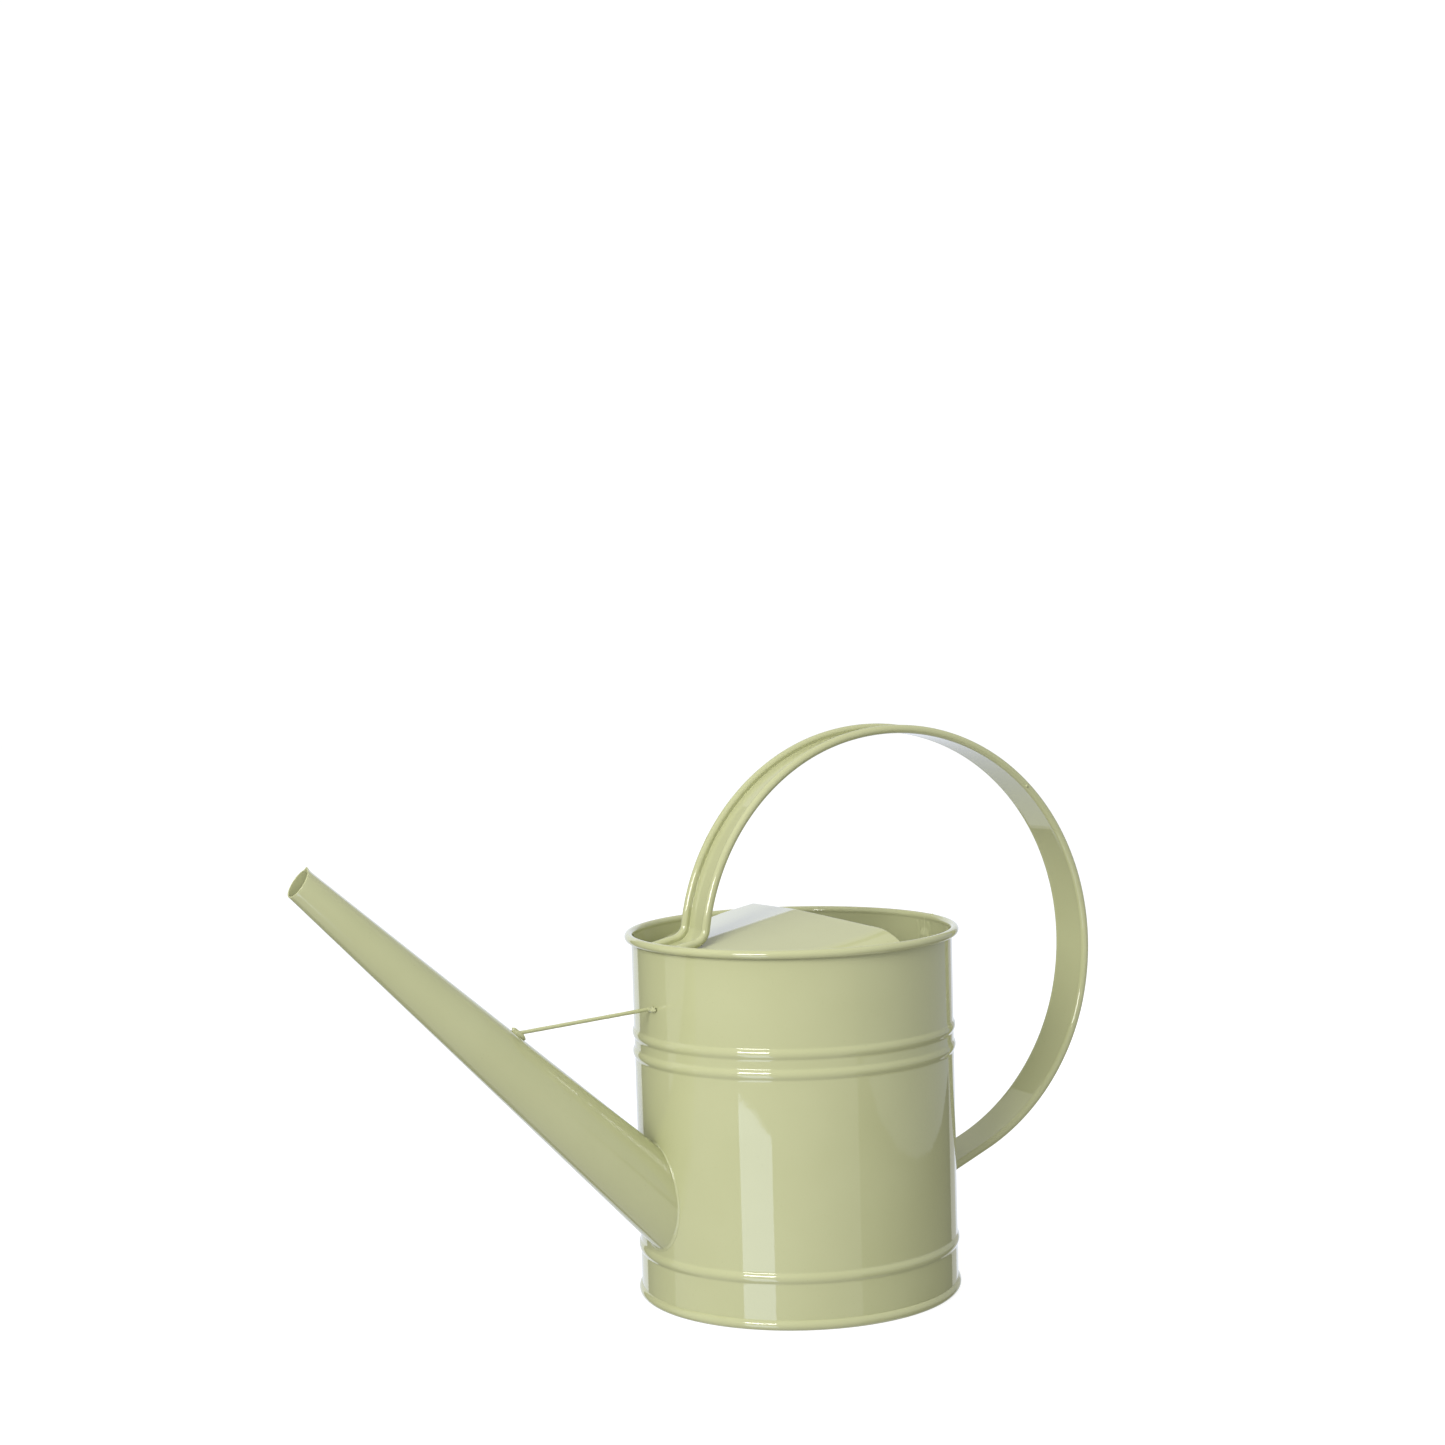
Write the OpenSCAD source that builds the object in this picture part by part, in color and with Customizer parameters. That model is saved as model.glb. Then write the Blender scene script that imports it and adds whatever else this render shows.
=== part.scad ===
// Round sheet-metal watering can with a hoop handle, a half cover and a long braced spout.
// Millimetres. +Z is up, the spout points to -X and the handle stands at +X.
// The origin is the middle of the foot ring, on the ground.

/* [Sheet and wire] */
// Thickness of the painted sheet
sheet = 0.7; // [0.5:0.05:0.8]
// Gap round each wire inside its rolled edge
wire_gap = 0.05; // [0.02:0.01:0.1]

/* [Body] */
// Outer radius of the wall at the ground
wall_foot_r = 88.6; // [80:0.1:100]
// Outer radius of the wall at the mouth
wall_mouth_r = 89.3; // [80:0.1:100]
// Height of the rim bead's centre
rim_z = 200; // [190:1:230]
// Outer radius of the rim bead's round section
rim_bead_r = 2.4; // [2.2:0.1:3]
// How far the rim bead's centre lies outside the wall
rim_bead_out = 1.4; // [1:0.1:1.6]
// Height of the highest swaged rib
rib_high_z = 147.0; // [140:0.1:150]
// Height of the middle rib
rib_middle_z = 136.1; // [128:0.1:138]
// Height of the low rib
rib_low_z = 27.7; // [24:0.1:28]
// Radius of a rib's round crest
rib_crest_r = 4.4; // [4:0.1:5]
// How far a rib stands out
rib_rise = 1.0; // [0.6:0.1:1.2]

/* [Base] */
// Height of the pan's underside above the ground
pan_z = 4.4; // [3.5:0.1:4.8]
// Section radius of the rolled foot ring
foot_ring_r = 3.1; // [2.8:0.1:3.4]
// Height of the foot ring's section centre
foot_ring_z = 2.9; // [2.6:0.1:3.1]

/* [Half cover] */
// How far behind the body's axis the ridge's rear end lies
ridge_rear_x = 2.5; // [0:0.5:12]
// How far behind the body's axis the rear edge meets the wall
cover_side_x = 18; // [12:0.5:24]
// Height of the ridge at its rear end
ridge_rear_z = 212.1; // [210:0.1:213.5]
// Slope of the ridge, in degrees
ridge_tilt = 11.7; // [10.5:0.1:12.5]
// Fall of each panel away from the ridge, in degrees
panel_fall = 5.8; // [4.5:0.1:7]
// Extra drop of the rounded shoulder at the wall
shoulder_drop = 6.0; // [5:0.1:8]
// Width of the rounded shoulder
shoulder_w = 19; // [14:1:22]

/* [Spout] */
// Height at which the spout's axis leaves the wall
spout_z = 63.7; // [58:0.1:68]
// Climb of the spout, in degrees
spout_climb = 43.4; // [40:0.1:48]
// Outer radius where the axis leaves the wall
spout_base_r = 20.9; // [18:0.1:23]
// Outer radius at the tip
spout_tip_r = 8.3; // [7:0.1:10]
// Length from the wall to the tip
spout_len = 270.5; // [240:0.5:290]
// Turn of the tip's cut away from square, in degrees
tip_turn = 7.5; // [0:0.5:10]
// Width of the lapped seam on top of the spout, in degrees
spout_lap_angle = 20; // [14:1:30]

/* [Brace] */
// Diameter of the brace wire
brace_d = 2.1; // [1.8:0.1:2.6]
// How far forward of the body's axis the brace meets the spout
brace_front_x = 167; // [155:1:175]
// Height at which the brace meets the wall
brace_wall_z = 165.4; // [155:0.2:175]

/* [Handle] */
// Width of the handle over both rolled edges
handle_w = 28.5; // [24:0.5:31]
// Section radius of each rolled edge
edge_r = 2.4; // [2.1:0.05:2.6]
// Middle of the hoop, behind the body's axis
hoop_x = 65.3; // [63:0.1:68]
// Middle of the hoop, above the ground
hoop_z = 183.1; // [180:0.1:186]
// Longest radius of the hoop's smooth inner face
hoop_long_r = 127.3; // [125:0.1:130]
// Shortest radius of the hoop's smooth inner face
hoop_short_r = 122.8; // [121:0.1:124.5]
// Radius of the hoop's two tighter stretches
hoop_tight_r = 117.2; // [115:0.1:119]
// Radius of the bend at each end of the handle
foot_bend_r = 11; // [10:0.5:13]
// Straight length of the handle's front foot
front_foot_len = 16; // [12:1:18]
// Angle round the hoop at which it leaves its curve for the straight run to the wall
rear_start = -67; // [-68:0.5:-62]
// Straight length of the handle's rear foot
rear_foot_len = 11; // [9:1:12]

/* [Hidden] */
$fn = 96;
PAINT = [0.78, 0.80, 0.62];
STEEL = [0.62, 0.64, 0.62];
SOLDER = [0.74, 0.76, 0.60];
far = 400;                                    // longer than the whole can
wall_bottom = 1.2;                            // the wall stands this high in the foot ring
rib_set = [rib_high_z, rib_middle_z, rib_low_z];
rib_back = rib_crest_r - rib_rise;            // crest centre, inside the wall's outer face
rim_r = wall_mouth_r + rim_bead_out;
foot_ring_mid_r = wall_foot_r - 1.5;         // the ring stands under the wall's inner face
pan_r = foot_ring_mid_r - 1.5;                // the pan runs into the ring
slot_top = 10;                                // the ring is cut clear of the wall up to here
solder_gap = 0.02;                            // air between a run of solder and the sheet it sits on
cover_edge_z = rim_z - 8;                     // about where the half cover's edge meets the wall
lap_rise = 0.5;                               // step of a lapped seam
lock_seam_angle = 5;                          // width of the wall's lock seam
lock_seam_in = 1.1;                           // how far the lock seam stands into the can
lock_seam_gap = 8;                            // lock seam stops short of pan and rim

function wall_r(z) = wall_foot_r + (wall_mouth_r - wall_foot_r) * z / rim_z;

// ---------------------------------------------------------------- body

// Everything inside the wall's outer face, ribs included, as half a section
module outer_section() {
    polygon([[0, wall_bottom], [wall_r(wall_bottom), wall_bottom], [wall_mouth_r, rim_z], [0, rim_z]]);
    for (z = rib_set) translate([wall_r(z) - rib_back, z]) circle(r = rib_crest_r);
}

// The hollow inside the wall, moved inwards by the given distance
module inner_section(inset) {
    polygon([[-1, 0], [wall_foot_r - sheet - inset, 0],
             [wall_mouth_r - sheet - inset, rim_z], [-1, rim_z]]);
    for (z = rib_set) translate([wall_r(z) - rib_back - inset, z]) circle(r = rib_crest_r - sheet);
}

// The wall's sheet with its edge rolled outwards round the rim wire
module wall_section() {
    difference() {
        union() {
            difference() {
                outer_section();
                translate([0, -1]) inner_section(0);
                inner_section(0);
            }
            translate([rim_r, rim_z]) circle(r = rim_bead_r);
        }
        translate([rim_r, rim_z]) circle(r = rim_bead_r - sheet);
    }
}

// The folded joint of the wall's two edges, on the inside at the back
module lock_seam_section() {
    intersection() {
        difference() {
            inner_section(-sheet / 2);
            inner_section(lock_seam_in);
        }
        translate([0, pan_z + lock_seam_gap]) square([far, rim_z - pan_z - 2 * lock_seam_gap]);
    }
}

module body_wall() {
    color(PAINT)
    difference() {
        union() {
            rotate_extrude() wall_section();
            rotate([0, 0, -lock_seam_angle / 2])
            rotate_extrude(angle = lock_seam_angle) lock_seam_section();
        }
        along_spout() cylinder(r = spout_base_r - sheet, h = 2 * spout_back, center = true);
    }
}

module rim_wire() {
    color(STEEL)
    rotate_extrude() translate([rim_r, rim_z]) circle(r = rim_bead_r - sheet - wire_gap);
}

// ---------------------------------------------------------------- base

// The pan and the foot ring that its rim makes round the wall's lower edge
module base_pan() {
    color(PAINT)
    rotate_extrude() difference() {
        union() {
            translate([0, pan_z]) square([pan_r, sheet]);
            intersection() {
                translate([foot_ring_mid_r, foot_ring_z]) circle(r = foot_ring_r);
                square([far, foot_ring_z + foot_ring_r]);
            }
        }
        polygon([[wall_foot_r - sheet, wall_bottom], [wall_r(wall_bottom), wall_bottom],
                 [wall_r(slot_top), slot_top], [wall_r(slot_top) - sheet, slot_top],
                 [wall_r(wall_bottom) - sheet, wall_bottom]]);
    }
}

// Solder run into the corner between pan and wall, which makes the can tight
module base_solder() {
    foot = foot_ring_z + foot_ring_r + solder_gap;
    outer = wall_r(foot) - sheet - solder_gap;
    run_in = 4.6;
    run_up = 2;
    color(SOLDER) rotate_extrude() polygon([[outer - run_in, foot], [outer, foot], [outer, foot + run_up]]);
}

// ---------------------------------------------------------------- half cover

COVER_RAYS = 40;                              // spokes from the ridge's rear end round to the sides
COVER_RINGS = 12;                             // steps from the ridge out to the wall
COVER_CROWD = 1.35;                           // how strongly those steps crowd towards the wall
cover_start = 0.004;                          // the front row stops this share short of the wall
cover_clear = 0.04;                           // air between the cover's edge and the wall

function ridge_z(x) = ridge_rear_z + (x - ridge_rear_x) * tan(ridge_tilt);
function inner_r(z) = wall_r(z) - sheet - cover_clear;

// Shoulder drop at a point: nothing on the panel, the whole drop at the wall
function shoulder(x, y) =
    let (gap = max(0, inner_r(cover_edge_z) - norm([x, y])), t = max(0, 1 - gap / shoulder_w))
    shoulder_drop * t * t;

function cover_z(x, y) = ridge_z(x) - abs(y) * tan(panel_fall) - shoulder(x, y);

// Plan of the rear edge on one side: from the ridge's end out to the wall
side_y = sqrt(pow(inner_r(cover_edge_z), 2) - pow(cover_side_x, 2));

// A point of the cover's plan.
// u runs from the front (0) to the rear edge (1), v from side to side (-1 to 1).
function cover_plan(u, v) =
    let (half = inner_r(cover_edge_z),
         side_angle = atan2(side_y, cover_side_x),
         turn = 180 - (180 - side_angle) * u,
         edge = [half * cos(turn), half * sin(turn)],
         mid = [-half + (ridge_rear_x + half) * u, 0])
    [mid[0] + (edge[0] - mid[0]) * abs(v), edge[1] * v];

function cover_point(u, v, drop) =
    let (p = cover_plan(u, v)) [p[0], p[1], cover_z(p[0], p[1]) - drop];

// Steps across the cover from side to side, closer together towards the wall
function across(i) = let (t = i / COVER_RINGS - 1) sign(t) * (1 - pow(1 - abs(t), COVER_CROWD));

module top_cover() {
    rows = COVER_RAYS;
    cols = 2 * COVER_RINGS;
    row_u = [for (k = [0:rows]) cover_start + (1 - cover_start) * k / rows];
    w = cols + 1;
    n = (rows + 1) * w;
    last = rows * w;
    top = [for (k = [0:rows]) for (i = [0:cols]) cover_point(row_u[k], across(i), 0)];
    under = [for (k = [0:rows]) for (i = [0:cols]) cover_point(row_u[k], across(i), sheet)];
    corners = [for (k = [0:rows - 1]) for (i = [0:cols - 1]) k * w + i];
    sides = [for (k = [0:rows - 1]) k * w];
    faces = concat(
        [for (c = corners) [c, c + 1, c + w + 1]],
        [for (c = corners) [c, c + w + 1, c + w]],
        [for (c = corners) [n + c, n + c + w + 1, n + c + 1]],
        [for (c = corners) [n + c, n + c + w, n + c + w + 1]],
        [for (c = sides) [c, c + w, n + c + w, n + c]],
        [for (c = sides) [c + cols, n + c + cols, n + c + w + cols, c + w + cols]],
        [for (i = [0:cols - 1]) [i, n + i, n + i + 1, i + 1]],
        [for (i = [0:cols - 1]) [last + i, last + i + 1, n + last + i + 1, n + last + i]]
    );
    color(PAINT) polyhedron(points = concat(top, under), faces = faces, convexity = 4);
}

// ---------------------------------------------------------------- spout

// Moves +Z onto the spout's axis, starting where it leaves the wall
module along_spout() {
    translate([-wall_r(spout_z), 0, spout_z]) rotate([0, spout_climb - 90, 0]) children();
}

function spout_r(t) = spout_base_r + (spout_tip_r - spout_base_r) * t / spout_len;

spout_back = 45;                              // the cone is drawn this far inside the can, then cut off
spout_over = 6;                               // and this far past the tip

module spout_cone(extra) {
    translate([0, 0, -spout_back])
    cylinder(r1 = spout_r(-spout_back) + extra, r2 = spout_r(spout_len + spout_over) + extra,
             h = spout_len + spout_back + spout_over);
}

// The space inside the wall's plain outer face, grown by the given amount
module wall_core(extra) {
    below = 10;
    translate([0, 0, -below])
    cylinder(r1 = wall_r(-below) + extra, r2 = wall_r(rim_z) + extra, h = rim_z + below, $fn = 360);
}

module spout_tube() {
    color(PAINT)
    difference() {
        along_spout() difference() {
            union() {
                spout_cone(0);
                rotate([0, 0, -spout_lap_angle / 2]) rotate_extrude(angle = spout_lap_angle)
                polygon([[spout_base_r - sheet / 2, 0], [spout_base_r + lap_rise, 0],
                         [spout_tip_r + lap_rise, spout_len], [spout_tip_r - sheet / 2, spout_len]]);
            }
            spout_cone(-sheet);
            translate([0, 0, spout_len]) rotate([0, -tip_turn, 0])
            cylinder(r = spout_base_r, h = spout_base_r);
        }
        wall_core(0);
    }
}

// The thin run of solder round the root of the spout
module spout_solder() {
    run = 1.3;
    color(SOLDER)
    difference() {
        intersection() {
            along_spout() spout_cone(run);
            wall_core(run);
        }
        along_spout() spout_cone(0);
        wall_core(0);
    }
}

// ---------------------------------------------------------------- brace

top_fall = atan((spout_base_r - spout_tip_r) / spout_len);
toe_climb = spout_climb - top_fall;           // slope of the spout's top line
brace_clear = 0.05;                           // air under the toe that lies on the spout

// Height of the spout's top line above a point at -x
function spout_top_z(x) =
    let (t = (x - wall_r(spout_z) + spout_base_r * sin(spout_climb))
             / (cos(spout_climb) + tan(top_fall) * sin(spout_climb)))
    spout_z + t * sin(spout_climb) + spout_r(t) * cos(spout_climb);

brace_r = brace_d / 2;
brace_front_z = spout_top_z(brace_front_x) + (lap_rise + brace_r + brace_clear) / cos(toe_climb);
brace_rear_x = wall_r(brace_wall_z) + brace_r;
brace_run = [brace_front_x - brace_rear_x, brace_wall_z - brace_front_z];
brace_tilt = atan2(brace_run[1], brace_run[0]);
front_toe = 4.5;                              // length of the toe that lies on the spout
rear_toe = 6;                                 // length of the toe that lies on the wall
joint_r = brace_r + 0.02;                     // ball that rounds off each bend and end

// A straight run of wire with a round end
module wire_run(start, turn, length) {
    translate(start) rotate(turn) cylinder(r = brace_r, h = length, $fn = 48);
    translate(start) sphere(r = joint_r, $fn = 48);
}

module brace_rod() {
    color(PAINT) union() {
        wire_run([-brace_front_x, 0, brace_front_z], [0, 90 - brace_tilt, 0], norm(brace_run));
        wire_run([-brace_front_x, 0, brace_front_z] + front_toe * [-cos(toe_climb), 0, sin(toe_climb)],
                 [0, 90 + toe_climb, 0], front_toe);
        wire_run([-brace_rear_x, -rear_toe, brace_wall_z], [-90, 0, 0], rear_toe);
        translate([-brace_rear_x, 0, brace_wall_z]) sphere(r = joint_r, $fn = 48);
    }
}

// A drop of solder along x: a small flat end, a shoulder and a crest, then the same again
module solder_drop(place, turn, half_len, rise) {
    end_r = 0.35 * rise;
    shoulder_r = 0.85 * rise;
    shoulder_x = 0.45 * half_len;
    translate(place) rotate(turn) rotate([0, 90, 0]) rotate_extrude()
    polygon([[0, -half_len], [end_r, -half_len], [shoulder_r, -shoulder_x], [rise, 0],
             [shoulder_r, shoulder_x], [end_r, half_len], [0, half_len]]);
}

module brace_front_solder() {
    past_bend = 1.5;
    sink = 0.4;
    color(SOLDER)
    difference() {
        solder_drop([-brace_front_x - past_bend, 0, brace_front_z - sink], [0, spout_climb, 0], 6.5, 2.4);
        along_spout() spout_cone(lap_rise);
    }
}

module brace_rear_solder() {
    color(SOLDER)
    difference() {
        solder_drop([-brace_rear_x, -rear_toe / 2, brace_wall_z], [0, 0, 90], 5.6, 2.2);
        wall_core(solder_gap);
    }
}

// ---------------------------------------------------------------- handle

// The hoop is an oval of four arcs whose long axis leans 45 degrees forward.
long_shift = hoop_long_r - hoop_tight_r;
flat_radius = (pow(long_shift, 2) + pow(hoop_short_r, 2) - pow(hoop_tight_r, 2))
              / (2 * (hoop_short_r - hoop_tight_r));
flat_shift = flat_radius - hoop_short_r;
join_angle = atan2(flat_shift, long_shift);
hoop_mid = [hoop_x, hoop_z];
front_mid = hoop_mid + long_shift * [cos(135), sin(135)];
rear_mid = hoop_mid + long_shift * [cos(-45), sin(-45)];
top_mid = hoop_mid - flat_shift * [cos(45), sin(45)];

// Where the front bend starts, so that the front foot lies along the cover's ridge
foot_clear = 0.05;
bend_reach = hoop_tight_r + foot_bend_r;
ridge_normal = [-sin(ridge_tilt), cos(ridge_tilt)];
ridge_height = ridge_normal * [ridge_rear_x, ridge_rear_z] + foot_clear;
front_reach = ridge_height + foot_bend_r - ridge_normal * front_mid;
front_start = 180 + ridge_tilt - asin(front_reach / bend_reach);
front_bend_mid = front_mid + bend_reach * [cos(front_start), sin(front_start)];
front_bend_end = 270 + ridge_tilt;

// The hoop runs straight towards the wall, then bends down so that the rear foot lies on the wall
rear_leave = 90 + rear_start;                 // slope of that straight run
rear_line_start = rear_mid + hoop_tight_r * [cos(rear_start), sin(rear_start)];
rear_wall_x = wall_r(45) + foot_clear;
rear_bend_x = rear_wall_x + foot_bend_r;
rear_line_len = (rear_line_start[0] + foot_bend_r * cos(rear_start) - rear_bend_x) / cos(rear_leave);
rear_bend_mid = rear_line_start + foot_bend_r * [cos(rear_start), sin(rear_start)]
                - rear_line_len * [cos(rear_leave), sin(rear_leave)];

// The handle's runs in order: kind, centre or start, radius of the smooth face, first and last angle.
// A bend curls towards the rolled edges, so its profile is turned over.
ARCS = [
    [rear_bend_mid, -foot_bend_r, rear_start + 180, 180],
    [rear_mid, hoop_tight_r, rear_start, -45 + join_angle],
    [top_mid, flat_radius, -45 + join_angle, 135 - join_angle],
    [front_mid, hoop_tight_r, 135 - join_angle, front_start],
    [front_bend_mid, -foot_bend_r, front_bend_end, front_start + 180],
];

// Turns the XY plane of a sketch into the handle's XZ plane
module stand_up() {
    rotate([90, 0, 0]) children();
}

// Sweeps the children, drawn with x across the smooth face's radius and y along the handle's width
module arc_run(run) {
    radius = run[1];
    translate([run[0][0], 0, run[0][1]]) stand_up()
    rotate([0, 0, run[2]]) rotate_extrude(angle = run[3] - run[2])
    if (radius > 0) translate([radius, 0]) children();
    else translate([-radius, 0]) mirror([1, 0]) children();
}

// A straight run of the same section, with its rolled edges to the left of the direction of travel
module straight_run(start, heading, length) {
    translate([start[0], 0, start[1]]) stand_up() rotate([0, 0, heading]) rotate([90, 0, 90])
    linear_extrude(height = length) children();
}

run_break = 0.01;                             // degrees left free at each end of a bent run

// The strip and its wires are drawn as runs laid end to end
module sweep_handle() {
    for (run = ARCS) arc_run([run[0], run[1], run[2] + run_break, run[3] - run_break]) children();
    straight_run(rear_line_start, 180 + rear_leave, rear_line_len) children();
    straight_run(rear_bend_mid - [foot_bend_r, 0], -90, rear_foot_len) children();
    straight_run(front_bend_mid + foot_bend_r * [cos(front_bend_end), sin(front_bend_end)],
                 180 + ridge_tilt, front_foot_len) mirror([1, 0]) children();
}

wire_place = handle_w / 2 - edge_r;
web_in = 0.1;                                 // the flat web lies this far behind the rolled edges' backs

module strip_section() {
    difference() {
        union() {
            translate([web_in, -wire_place]) square([sheet, 2 * wire_place]);
            for (s = [-1, 1]) translate([edge_r, s * wire_place]) circle(r = edge_r);
        }
        for (s = [-1, 1]) translate([edge_r, s * wire_place]) circle(r = edge_r - sheet);
    }
}

module edge_wire_section(side) {
    translate([edge_r, side * wire_place]) circle(r = edge_r - sheet - wire_gap);
}

// Solder wedged between the flat front foot and the two panels that fall away below it
module handle_front_solder() {
    thin_edge = 1;
    thin_fill = 0.03;
    fill = 0.85 * wire_place * tan(panel_fall);
    short = 4;
    run_start = front_bend_mid + foot_bend_r * [cos(front_bend_end), sin(front_bend_end)];
    color(SOLDER)
    translate([run_start[0], 0, run_start[1]]) stand_up() rotate([0, 0, 180 + ridge_tilt])
    rotate([90, 0, 90]) linear_extrude(height = front_foot_len - short)
    for (s = [-1, 1]) polygon([[solder_gap, s * thin_edge], [solder_gap, s * wire_place],
                               [fill, s * wire_place], [thin_fill, s * thin_edge]]);
}

// Solder wedged between the flat rear foot and the round wall
module handle_rear_solder() {
    side_start = 4;
    short = 2;
    deep = 2;
    mid_x = rear_wall_x - solder_gap - deep / 2;
    mid_z = rear_bend_mid[1] - rear_foot_len / 2;
    color(SOLDER)
    difference() {
        for (s = [-1, 1]) translate([mid_x, s * (side_start + wire_place) / 2, mid_z])
            cube([deep, wire_place - side_start, rear_foot_len - short], center = true);
        wall_core(solder_gap);
    }
}

module handle_strip() { color(PAINT) sweep_handle() strip_section(); }
module handle_wire_left() { color(STEEL) sweep_handle() edge_wire_section(1); }
module handle_wire_right() { color(STEEL) sweep_handle() edge_wire_section(-1); }

body_wall();
rim_wire();
base_pan();
base_solder();
top_cover();
spout_tube();
spout_solder();
brace_rod();
brace_front_solder();
brace_rear_solder();
handle_strip();
handle_wire_left();
handle_wire_right();
handle_front_solder();
handle_rear_solder();
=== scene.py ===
import math

import bmesh
import bpy
import numpy as np
from mathutils import Matrix, Vector


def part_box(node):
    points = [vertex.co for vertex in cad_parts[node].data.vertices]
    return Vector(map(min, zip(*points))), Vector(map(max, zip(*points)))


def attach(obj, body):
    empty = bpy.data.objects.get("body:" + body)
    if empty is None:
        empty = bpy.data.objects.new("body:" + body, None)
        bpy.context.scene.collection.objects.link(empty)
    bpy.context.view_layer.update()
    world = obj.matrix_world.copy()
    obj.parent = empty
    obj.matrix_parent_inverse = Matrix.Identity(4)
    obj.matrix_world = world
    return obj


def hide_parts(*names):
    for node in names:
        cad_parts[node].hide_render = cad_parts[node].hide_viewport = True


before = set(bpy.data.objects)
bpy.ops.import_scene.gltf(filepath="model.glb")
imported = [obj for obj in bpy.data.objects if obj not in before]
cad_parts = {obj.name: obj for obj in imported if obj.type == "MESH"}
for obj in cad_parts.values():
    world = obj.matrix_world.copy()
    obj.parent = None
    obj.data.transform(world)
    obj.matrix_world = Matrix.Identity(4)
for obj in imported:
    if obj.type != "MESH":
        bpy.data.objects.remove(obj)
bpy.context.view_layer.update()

# ---------------------------------------------------------------- sizes, in millimetres
# Lengths below are drawn in millimetres and turned into metres when a mesh is made.
MM = 0.001


def node_box(node):
    lo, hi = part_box(node)
    return np.array(lo) / MM, np.array(hi) / MM


WALL_LO, WALL_HI = node_box("body_wall")
PAN_HI = node_box("base_pan")[1]
COVER_HI = node_box("top_cover")[1]
STRIP_LO, STRIP_HI = node_box("handle_strip")

SHEET = 0.7

# wall, rim and ribs
RIM_BEAD_R = 2.4
RIM_Z = WALL_HI[2] - RIM_BEAD_R
RIM_R = WALL_HI[0] - RIM_BEAD_R
BEAD_OUT = 1.4  # from the wall's outer face to the middle of the rim's bead
WALL_TAPER = 0.7
WALL_MOUTH_R = RIM_R - BEAD_OUT
WALL_FOOT_R = WALL_MOUTH_R - WALL_TAPER
WALL_BOTTOM = WALL_LO[2]
RIB_Z = (147.0, 136.1, 27.7)
RIB_CREST_R = 4.4
RIB_RISE = 1.0
RIB_BACK = RIB_CREST_R - RIB_RISE

# base
FOOT_RING_R = 3.1
FOOT_RING_Z = PAN_HI[2] - FOOT_RING_R
FOOT_RING_MID_R = PAN_HI[0] - FOOT_RING_R
PAN_Z = 4.4

# half cover
RIDGE_TILT = math.radians(11.7)
PANEL_FALL = math.radians(5.8)
RIDGE_REAR = (2.5, COVER_HI[2])  # x and z of the ridge's rear end
COVER_SIDE_X = 18.0
SHOULDER_DROP = 6.0
SHOULDER_W = 19.0

# spout
SPOUT_Z = 63.7
SPOUT_CLIMB = math.radians(43.4)
SPOUT_BASE_R = 20.9
SPOUT_TIP_R = 8.3
SPOUT_LEN = 270.5
TOP_FALL = math.atan((SPOUT_BASE_R - SPOUT_TIP_R) / SPOUT_LEN)
TOP_CLIMB = SPOUT_CLIMB - TOP_FALL
TIP_TURN = math.radians(7.5)
LAP_RISE = 0.5

# brace
BRACE_R = 1.05
BRACE_FRONT_X = 167.0
BRACE_WALL_Z = 165.4
BRACE_CLEAR = 0.05
FRONT_TOE = 4.5
REAR_TOE = 6.0

# handle: the hoop is part of an oval in the XZ plane, tight at the ends of its long axis and flatter on top
HANDLE_W = STRIP_HI[1] - STRIP_LO[1]
EDGE_R = 2.4
WEB_IN = 0.1  # from the edges' outermost line in to the web's smooth face
WIRE_PLACE = HANDLE_W / 2 - EDGE_R
HOOP_MID = np.array([65.3, 183.1])
HOOP_LONG_R = 127.3
HOOP_SHORT_R = 122.8
HOOP_TIGHT_R = 117.2
FOOT_BEND_R = 11.0
FRONT_FOOT_LEN = 16.0
REAR_START = -67.0  # degrees, where the hoop's arc ends and the straight run to the rear foot starts
REAR_BEND_Z = 45.0  # about the height where the rear foot meets the wall
REAR_FOOT_LEN = 11.0
FOOT_CLEAR = 0.05


def wall_r(z):
    return WALL_FOOT_R + (WALL_MOUTH_R - WALL_FOOT_R) * z / RIM_Z


def rad(a):
    return math.radians(a)


def unit2(a):
    return np.array([math.cos(rad(a)), math.sin(rad(a))])


def centred(degrees):
    """The same angle between -180 and 180."""
    return (degrees + 180) % 360 - 180


def fade_in(x, softness):
    """0 where x is well below zero and 1 where it is well above, with a soft step between."""
    return 1 / (1 + np.exp(-x / softness))


# ---------------------------------------------------------------- mesh helpers


def make_object(name, verts, faces, material, nodes=()):
    mesh = bpy.data.meshes.new(name)
    places = [tuple(float(c) * MM for c in v) for v in verts]
    mesh.from_pydata(places, [], [tuple(map(int, f)) for f in faces])
    mesh.validate()
    bm = bmesh.new()
    bm.from_mesh(mesh)
    bmesh.ops.recalc_face_normals(bm, faces=bm.faces)
    bm.to_mesh(mesh)
    bm.free()
    mesh.shade_smooth()
    obj = bpy.data.objects.new(name, mesh)
    bpy.context.scene.collection.objects.link(obj)
    mesh.materials.append(material)
    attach(obj, "root")
    if nodes:
        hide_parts(*nodes)
    return obj


def grid_faces(nu, nv, wrap_u, wrap_v):
    faces = []
    for i in range(nu if wrap_u else nu - 1):
        a, b = i * nv, ((i + 1) % nu) * nv
        for j in range(nv if wrap_v else nv - 1):
            k = (j + 1) % nv
            faces.append((a + j, a + k, b + k, b + j))
    return faces


def end_caps(nu, nv):
    """The faces that close a grid's first and last rows."""
    return [tuple(range(nv))[::-1], tuple(range((nu - 1) * nv, nu * nv))]


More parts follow.
